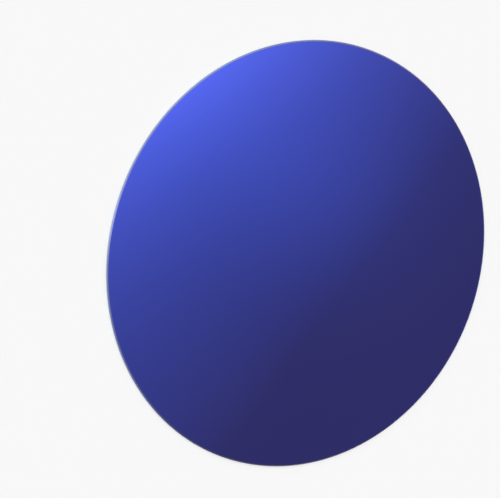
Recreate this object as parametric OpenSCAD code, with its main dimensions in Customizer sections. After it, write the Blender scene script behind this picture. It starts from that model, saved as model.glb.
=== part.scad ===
// Polished silicon wafer: one thin disc of silicon, flat on both faces, with an edge that is ground
// to a shallow bevel on each face and a rounded nose between the two bevels.
//
// The disc lies on its back face, with the coated front face up. The origin is at the centre of the
// back face, and +Z points out of the front face.

/* [Disc] */
// Diameter of the disc, over the apex of its edge
wafer_d = 100; // [50:0.5:200]
// Thickness of the disc, from the back face to the front face
wafer_t = 0.525; // [0.4:0.005:1]

/* [Ground edge] */
// Width of each bevel, along the radius
bevel_w = 0.25; // [0.1:0.01:0.4]
// Slope of each bevel against its face, in degrees
bevel_angle = 22; // [11:1:30]
// Height of the straight band at the apex, between the two rounded corners of the nose
apex_h = 0.1; // [0.04:0.01:0.2]

/* [Hidden] */
$fn = 180;

wafer_r = wafer_d / 2;
half_t = wafer_t / 2;
// Depth that each bevel cuts into the thickness
bevel_drop = bevel_w * tan(bevel_angle);
// Radius of the nose's two corners, which run into the bevels and the apex band without a step
nose_r = (half_t - bevel_drop - apex_h / 2) / cos(bevel_angle);

// Points of the edge's section, from its apex at mid-thickness: X runs outwards, Y to the front face
corner_centre = [-nose_r, apex_h / 2];
bevel_foot = corner_centre + nose_r * [sin(bevel_angle), cos(bevel_angle)];
face_edge = [bevel_foot.x - bevel_w, half_t];

// Section of the front half of the disc, from its axis to the apex of its edge
module front_half() {
    polygon([
        [-wafer_r, 0],
        [0, 0],
        [0, corner_centre.y],
        bevel_foot,
        face_edge,
        [-wafer_r, half_t]
    ]);
    translate(corner_centre)
        circle(r = nose_r);
}

// The whole section: the back half is ground to the same form as the front half
module section() {
    translate([wafer_r, half_t]) {
        front_half();
        mirror([0, 1])
            front_half();
    }
}

// The disc, turned about its axis as one piece
module wafer() {
    color([0.2, 0.25, 0.7])
        rotate_extrude()
            section();
}

wafer();
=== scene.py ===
import math
import bpy
from mathutils import Matrix, Vector


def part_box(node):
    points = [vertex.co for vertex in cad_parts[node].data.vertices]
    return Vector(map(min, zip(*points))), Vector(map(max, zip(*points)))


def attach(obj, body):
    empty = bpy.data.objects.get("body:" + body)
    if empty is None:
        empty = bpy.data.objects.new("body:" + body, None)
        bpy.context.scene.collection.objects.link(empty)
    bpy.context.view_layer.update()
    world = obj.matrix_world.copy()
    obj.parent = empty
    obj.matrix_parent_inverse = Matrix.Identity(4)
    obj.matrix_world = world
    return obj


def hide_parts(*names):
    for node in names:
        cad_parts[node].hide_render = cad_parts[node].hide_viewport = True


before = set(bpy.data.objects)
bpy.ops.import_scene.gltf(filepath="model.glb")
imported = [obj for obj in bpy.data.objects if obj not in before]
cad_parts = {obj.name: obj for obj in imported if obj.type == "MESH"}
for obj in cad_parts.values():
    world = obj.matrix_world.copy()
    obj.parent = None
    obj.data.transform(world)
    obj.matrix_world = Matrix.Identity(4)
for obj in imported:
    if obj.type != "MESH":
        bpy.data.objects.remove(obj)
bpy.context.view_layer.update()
print("frame loaded")

samePlace = 0.000001  # metres; points nearer together than this count as one place


def setUpScene():
    scene = bpy.context.scene
    scene.view_settings.view_transform = "Standard"  # keeps the deep blue as lit
    scene.view_settings.look = "None"


def direction(azimuth, elevation):
    # azimuth 0 points to +Y and 90 to +X, in degrees
    a, e = math.radians(azimuth), math.radians(elevation)
    return Vector((math.sin(a) * math.cos(e), math.cos(a) * math.cos(e), math.sin(e)))


def link(tree, source, target):
    tree.links.new(source, target)


def mathNode(tree, operation, first, second=None):
    node = tree.nodes.new("ShaderNodeMath")
    node.operation = operation
    for socket, value in zip(node.inputs, (first, second)):
        if value is None:
            continue
        if isinstance(value, (int, float)):
            socket.default_value = value
        else:
            link(tree, value, socket)
    return node.outputs[0]


def mixColour(tree, factor, first, second):
    # each colour is a fixed one or comes from another node
    node = tree.nodes.new("ShaderNodeMix")
    node.data_type = "RGBA"
    link(tree, factor, node.inputs["Factor"])
    for socket, colour in ((node.inputs["A"], first), (node.inputs["B"], second)):
        if isinstance(colour, tuple):
            socket.default_value = (*colour, 1)
        else:
            link(tree, colour, socket)
    return node.outputs["Result"]


def mapRange(tree, value, given=(0, 1), wanted=(0, 1), smooth=False):
    node = tree.nodes.new("ShaderNodeMapRange")
    node.interpolation_type = "SMOOTHSTEP" if smooth else "LINEAR"
    link(tree, value, node.inputs["Value"])
    for label, bound in zip(("From Min", "From Max", "To Min", "To Max"), (*given, *wanted)):
        node.inputs[label].default_value = bound
    return node.outputs["Result"]


def objectPlace(tree):
    return tree.nodes.new("ShaderNodeTexCoord").outputs["Object"]


def splitXYZ(tree, vector):
    node = tree.nodes.new("ShaderNodeSeparateXYZ")
    link(tree, vector, node.inputs["Vector"])
    return node.outputs


def makeGroup(name, inputs, outputs):
    group = bpy.data.node_groups.new(name, "ShaderNodeTree")
    for label, value in inputs.items():
        socket = group.interface.new_socket(label, in_out="INPUT", socket_type="NodeSocketFloat")
        socket.default_value = value
    for label in outputs:
        group.interface.new_socket(label, in_out="OUTPUT", socket_type="NodeSocketFloat")
    return group, group.nodes.new("NodeGroupInput"), group.nodes.new("NodeGroupOutput")


def makeCloudGroup():
    # slow drift over the disc, such as a film's thickness or an etched tone, from 0 to 1
    group, given, result = makeGroup("softClouds", {"Scale": 20.0, "Detail": 2.0}, ["Value"])
    noise = group.nodes.new("ShaderNodeTexNoise")
    link(group, objectPlace(group), noise.inputs["Vector"])
    link(group, given.outputs["Scale"], noise.inputs["Scale"])
    link(group, given.outputs["Detail"], noise.inputs["Detail"])
    spread = mapRange(group, noise.outputs["Fac"], given=(0.25, 0.75))
    link(group, spread, result.inputs["Value"])
    return group


def makeGrindGroup():
    # lines that run round the edge, as a grinding wheel leaves them
    group, given, result = makeGroup("grindLines", {"Across": 60000.0, "Along": 40.0}, ["Value"])
    place = splitXYZ(group, objectPlace(group))
    turn = mathNode(group, "ARCTAN2", place["Y"], place["X"])
    squares = mathNode(
        group, "ADD",
        mathNode(group, "POWER", place["X"], 2.0),
        mathNode(group, "POWER", place["Y"], 2.0),
    )
    outwards = mathNode(group, "SQRT", squares)
    across, along = given.outputs["Across"], given.outputs["Along"]
    joined = group.nodes.new("ShaderNodeCombineXYZ")
    link(group, mathNode(group, "MULTIPLY", turn, along), joined.inputs["X"])
    link(group, mathNode(group, "MULTIPLY", outwards, across), joined.inputs["Y"])
    link(group, mathNode(group, "MULTIPLY", place["Z"], across), joined.inputs["Z"])
    noise = group.nodes.new("ShaderNodeTexNoise")
    noise.inputs["Scale"].default_value = 1.0
    noise.inputs["Detail"].default_value = 3.0
    link(group, joined.outputs["Vector"], noise.inputs["Vector"])
    link(group, noise.outputs["Fac"], result.inputs["Value"])
    return group


def placeGroup(tree, group, **values):
    node = tree.nodes.new("ShaderNodeGroup")
    node.node_tree = group
    for label, value in values.items():
        node.inputs[label].default_value = value
    return node.outputs["Value"]


def newFinish(name, finish):
    material = bpy.data.materials.new(name)
    material.use_nodes = True
    material.diffuse_color = (*finish["light"], 1)
    shader = material.node_tree.nodes["Principled BSDF"]
    shader.inputs["Metallic"].default_value = finish["metallic"]
    return material, material.node_tree, shader


def addBump(tree, shader, height, strength, depth):
    bump = tree.nodes.new("ShaderNodeBump")
    bump.inputs["Strength"].default_value = strength
    bump.inputs["Distance"].default_value = depth
    link(tree, height, bump.inputs["Height"])
    link(tree, bump.outputs["Normal"], shader.inputs["Normal"])


def makeFilmFinish(clouds):
    # the thin coating on the polished face, whose colour drifts a little with its thickness
    finish = {
        "metallic": 1.0,
        "dark": (0.0565, 0.127, 0.90),
        "light": (0.0595, 0.133, 0.93),
        "edgeTint": (0.50, 0.55, 1.0, 1.0),  # what the blue pales towards at a low angle
        "rough": (0.03, 0.05),
        "driftScale": 22.0,
        "driftDetail": 1.0,
        "hazeScale": 90.0,
        "hazeDetail": 3.0,
    }
    material, tree, shader = newFinish("blue_film", finish)
    drift = placeGroup(tree, clouds, Scale=finish["driftScale"], Detail=finish["driftDetail"])
    haze = placeGroup(tree, clouds, Scale=finish["hazeScale"], Detail=finish["hazeDetail"])
    colour = mixColour(tree, drift, finish["dark"], finish["light"])
    link(tree, colour, shader.inputs["Base Color"])
    link(tree, mapRange(tree, haze, wanted=finish["rough"]), shader.inputs["Roughness"])
    shader.inputs["Specular Tint"].default_value = finish["edgeTint"]
    return material


def makeEdgeFinish(grind):
    # bare silicon, ground satin, with the last of the coating on the front bevel
    finish = {
        "metallic": 1.0,
        "dark": (0.42, 0.445, 0.56),
        "light": (0.53, 0.555, 0.69),
        "coatedDark": (0.31, 0.36, 0.67),
        "coatedLight": (0.40, 0.445, 0.82),
        "coatedFrom": (0.00038, 0.00045),  # heights between which the coating comes in
        "rough": (0.20, 0.30),
        "linesAcross": 60000.0,
        "linesAlong": 40.0,
        "bump": (0.35, 0.000004),  # strength and depth
    }
    material, tree, shader = newFinish("ground_edge", finish)
    lines = placeGroup(tree, grind, Across=finish["linesAcross"], Along=finish["linesAlong"])
    bare = mixColour(tree, lines, finish["dark"], finish["light"])
    coated = mixColour(tree, lines, finish["coatedDark"], finish["coatedLight"])
    height = splitXYZ(tree, objectPlace(tree))["Z"]
    coating = mapRange(tree, height, given=finish["coatedFrom"], smooth=True)
    link(tree, mixColour(tree, coating, bare, coated), shader.inputs["Base Color"])
    link(tree, mapRange(tree, lines, wanted=finish["rough"]), shader.inputs["Roughness"])
    addBump(tree, shader, lines, *finish["bump"])
    return material


def makeBackFinish(clouds):
    # bare silicon, lapped and etched to a dull grey
    finish = {
        "metallic": 0.85,
        "dark": (0.21, 0.215, 0.225),
        "light": (0.26, 0.265, 0.275),
        "rough": (0.50, 0.62),
        "mottleScale": 160.0,
        "grainScale": 9000.0,
        "detail": 4.0,
        "bump": (0.5, 0.00001),  # strength and depth
    }
    material, tree, shader = newFinish("etched_back", finish)
    mottle = placeGroup(tree, clouds, Scale=finish["mottleScale"], Detail=finish["detail"])
    grain = placeGroup(tree, clouds, Scale=finish["grainScale"], Detail=finish["detail"])
    colour = mixColour(tree, mottle, finish["dark"], finish["light"])
    link(tree, colour, shader.inputs["Base Color"])
    link(tree, mapRange(tree, grain, wanted=finish["rough"]), shader.inputs["Roughness"])
    addBump(tree, shader, grain, *finish["bump"])
    return material


def selectFaces(mesh, wanted):
    bpy.ops.mesh.select_all(action="DESELECT")
    bpy.ops.object.mode_set(mode="OBJECT")
    for face in mesh.polygons:
        face.select = wanted(face)
    bpy.ops.object.mode_set(mode="EDIT")


def selectLoops(mesh, wanted):
    # the loops that run round at one height, without the short uprights between them
    bpy.ops.mesh.select_all(action="DESELECT")
    bpy.ops.object.mode_set(mode="OBJECT")
    for edge in mesh.edges:
        first, second = (mesh.vertices[v].co for v in edge.vertices)
        level = abs(first.z - second.z) < samePlace
        edge.select = level and wanted(first) and wanted(second)
    bpy.ops.object.mode_set(mode="EDIT")


def makeWafer(finishes):
    wafer = {
        "segments": 512,
        "bevelWidth": 0.00025,  # along the radius, on each face
        "bevelAngle": math.radians(22),
        "apexHeight": 0.0001,  # straight band between the nose's two corners
        "cornerSteps": 8,
        "crispFrom": math.radians(12),  # a sharper edge than this stays a crisp line
        "flatFrom": 0.99,  # upright share of the normal from which a face is one of the flats
    }
    low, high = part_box("wafer")
    radius = min(high.x, -low.x, high.y, -low.y)
    thickness = high.z - low.z
    slope = wafer["bevelAngle"]
    bevelDrop = wafer["bevelWidth"] * math.tan(slope)
    noseRadius = (thickness / 2 - bevelDrop - wafer["apexHeight"] / 2) / math.cos(slope)
    edgeWidth = wafer["bevelWidth"] + noseRadius * (1 - math.sin(slope))
    turn = math.pi / 2 - slope  # how far the surface turns round one corner of the nose

    bpy.ops.object.select_all(action="DESELECT")
    bpy.ops.mesh.primitive_cylinder_add(
        vertices=wafer["segments"], radius=radius, depth=thickness,
        end_fill_type="TRIFAN", location=(0, 0, (low.z + high.z) / 2),
    )
    disc = bpy.context.object
    disc.name = "polished_wafer"
    bpy.ops.object.transform_apply(location=True, rotation=True, scale=True)
    mesh = disc.data
    bpy.ops.object.mode_set(mode="EDIT")
    bpy.ops.mesh.select_mode(type="FACE")

    # flats of both faces, inside the ring that the edge takes
    for side in (1, -1):
        selectFaces(mesh, lambda face: face.normal.z * side > wafer["flatFrom"])
        bpy.ops.mesh.inset(thickness=edgeWidth, depth=0, use_even_offset=True)

    def isOuter(place):
        return place.xy.length > radius - samePlace

    # both bevels: the sharp outer loops move in towards the middle of the thickness
    bpy.ops.mesh.select_mode(type="EDGE")
    for faceZ, side in ((high.z, 1), (low.z, -1)):
        selectLoops(mesh, lambda place: isOuter(place) and abs(place.z - faceZ) < samePlace)
        bpy.ops.transform.translate(value=(0, 0, -side * edgeWidth * math.tan(slope)))

    # the rounded nose: each sharp loop becomes an arc that meets the bevel and the band
    selectLoops(mesh, isOuter)
    bpy.ops.mesh.bevel(
        offset_type="OFFSET", offset=noseRadius * math.tan(turn / 2), offset_pct=0,
        segments=wafer["cornerSteps"], profile=0.5, affect="EDGES",
    )
    bpy.ops.mesh.select_all(action="SELECT")
    bpy.ops.mesh.remove_doubles(threshold=samePlace)
    bpy.ops.mesh.normals_make_consistent(inside=False)
    bpy.ops.object.mode_set(mode="OBJECT")
    bpy.ops.object.shade_smooth_by_angle(angle=wafer["crispFrom"])

    for finish in finishes:
        mesh.materials.append(finish)
    front, edge, back = range(len(finishes))
    for face in mesh.polygons:
        if abs(face.normal.z) < wafer["flatFrom"]:
            face.material_index = edge
        else:
            face.material_index = front if face.normal.z > 0 else back
    return disc


def makeFloor():
    floor = {"size": 40.0, "drop": 0.00001, "colour": (0.90, 0.90, 0.90), "rough": 1.0}
    bpy.ops.object.select_all(action="DESELECT")
    bpy.ops.mesh.primitive_plane_add(size=floor["size"], location=(0, 0, -floor["drop"]))
    plane = bpy.context.object
    plane.name = "floor"
    material = bpy.data.materials.new("floor_paper")
    material.use_nodes = True
    shader = material.node_tree.nodes["Principled BSDF"]
    shader.inputs["Base Color"].default_value = (*floor["colour"], 1)
    shader.inputs["Roughness"].default_value = floor["rough"]
    shader.inputs["Specular IOR Level"].default_value = 0
    plane.data.materials.append(material)


def addGlows(tree, look, start, glows):
    # each glow fades with the angle from its place; the shade and the cards take light away
    total = None
    for glow in glows.values():
        facing = tree.nodes.new("ShaderNodeVectorMath")
        facing.operation = "DOT_PRODUCT"
        link(tree, look, facing.inputs[0])
        facing.inputs[1].default_value = direction(*glow["at"])
        ahead = mathNode(tree, "MAXIMUM", facing.outputs["Value"], 0.0)
        add = tree.nodes.new("ShaderNodeVectorMath")
        add.operation = "MULTIPLY_ADD"
        link(tree, mathNode(tree, "POWER", ahead, glow["tight"]), add.inputs[0])
        add.inputs[1].default_value = glow["light"]
        if total is None:
            add.inputs[2].default_value = start
        else:
            link(tree, total, add.inputs[2])
        total = add.outputs["Vector"]
    return total


def makeDome():
    # what the polished face mirrors: a dim room of soft lights, above a low blue wall
    dome = {
        "backdrop": (0.94, 0.94, 0.94),
        "room": (0.13, 0.13, 0.13),
        "roomGlows": {  # "at" is an azimuth and an elevation; the tighter, the smaller
            "broadKey": {"at": (-160, 32), "tight": 0.8, "light": (0.90, 0.90, 0.90)},
            "window": {"at": (-28, 70), "tight": 70, "light": (3.85, 2.30, 2.00)},
            "windowShade": {"at": (-10.5, 65.5), "tight": 120, "light": (-0.80, -0.37, -0.27)},
            "softSpot": {"at": (-5, 58.5), "tight": 550, "light": (0.08, 0.08, 0.08)},
            "warmCeiling": {"at": (0, 60), "tight": 8, "light": (0.380, 0.082, 0.015)},
            "warmLampLeft": {"at": (-58, 14), "tight": 60, "light": (2.20, 1.55, 1.48)},
            "warmLampRight": {"at": (98, 30), "tight": 40, "light": (0.70, 0.59, 0.54)},
            "rimLamp": {"at": (164, 44), "tight": 180, "light": (3.60, 3.30, 2.60)},
            "rimLampTop": {"at": (163, 69), "tight": 500, "light": (2.00, 1.90, 1.60)},
            "lowBlackCard": {"at": (144, 14), "tight": 70, "light": (-0.62, -0.62, -0.62)},
            "highBlackCard": {"at": (178, 28), "tight": 40, "light": (-0.28, -0.28, -0.28)},
            "sideBlackCard": {"at": (126, 50), "tight": 16, "light": (-0.26, -0.26, -0.26)},
            "topBlackCard": {"at": (-165, 62), "tight": 20, "light": (-0.22, -0.22, -0.22)},
        },
        "wall": (0.17, 0.21, 0.58),
        "wallGlows": {
            "left": {"at": (-103, 4), "tight": 60, "light": (0.30, 0.34, 0.50)},
            "middle": {"at": (-14, 4), "tight": 60, "light": (0.30, 0.34, 0.50)},
        },
        "wallTop": 0.2,  # sine of the elevation at which the wall has given way to the room
    }
    world = bpy.data.worlds.new("studio")
    bpy.context.scene.world = world
    world.use_nodes = True
    tree = world.node_tree
    tree.nodes.clear()
    look = tree.nodes.new("ShaderNodeTexCoord").outputs["Generated"]
    rise = mapRange(tree, splitXYZ(tree, look)["Z"], given=(0, dome["wallTop"]), smooth=True)
    wall = addGlows(tree, look, dome["wall"], dome["wallGlows"])
    room = addGlows(tree, look, dome["room"], dome["roomGlows"])
    lit = tree.nodes.new("ShaderNodeBackground")
    link(tree, mixColour(tree, rise, wall, room), lit.inputs["Color"])
    seen = tree.nodes.new("ShaderNodeBackground")
    seen.inputs["Color"].default_value = (*dome["backdrop"], 1)
    path = tree.nodes.new("ShaderNodeLightPath")
    mix = tree.nodes.new("ShaderNodeMixShader")
    link(tree, path.outputs["Is Camera Ray"], mix.inputs["Fac"])
    link(tree, lit.outputs["Background"], mix.inputs[1])
    link(tree, seen.outputs["Background"], mix.inputs[2])
    output = tree.nodes.new("ShaderNodeOutputWorld")
    link(tree, mix.outputs["Shader"], output.inputs["Surface"])


def makeFloorLight():
    # lights the floor evenly as far as it goes; the polished face doesn't mirror it
    lamp = {
        "at": (-150, 52),  # azimuth and elevation
        "strength": 1.70,
        "spread": math.radians(30),
        "colour": (0.78, 1.0, 1.065),  # cool, against the warm lamps of the dome
    }
    bpy.ops.object.light_add(type="SUN")
    light = bpy.context.object
    light.name = "floor_light"
    light.rotation_euler = direction(*lamp["at"]).to_track_quat("Z", "Y").to_euler()
    light.data.energy = lamp["strength"]
    light.data.color = lamp["colour"]
    light.data.angle = lamp["spread"]
    light.visible_glossy = False


def makeCamera():
    camera = {
        "lens": 107.8,
        "aim": (0.00255, -0.01486, 0.0),
        "distance": 0.34,
        "azimuth": -0.87,
        "elevation": 60.5,
        "roll": 110.7,
        "nearest": 0.01,
        "farthest": 50.0,
    }
    a, e = math.radians(camera["azimuth"]), math.radians(camera["elevation"])
    back = Vector((math.sin(a) * math.cos(e), -math.cos(a) * math.cos(e), math.sin(e)))
    bpy.ops.object.camera_add()
    eye = bpy.context.object
    eye.name = "camera"
    eye.data.lens = camera["lens"]
    eye.data.clip_start = camera["nearest"]
    eye.data.clip_end = camera["farthest"]
    facing = (-back).to_track_quat("-Z", "Y").to_matrix().to_4x4()
    place = Matrix.Translation(Vector(camera["aim"]) + back * camera["distance"])
    eye.matrix_world = place @ facing @ Matrix.Rotation(math.radians(camera["roll"]), 4, "Z")
    bpy.context.scene.camera = eye


setUpScene()
makeCamera()
print("camera set")

clouds = makeCloudGroup()
grind = makeGrindGroup()
wafer = makeWafer([makeFilmFinish(clouds), makeEdgeFinish(grind), makeBackFinish(clouds)])
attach(wafer, "root")
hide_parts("wafer")
print("wafer made,", len(wafer.data.polygons), "faces")

makeFloor()
makeDome()
makeFloorLight()
print("studio made")
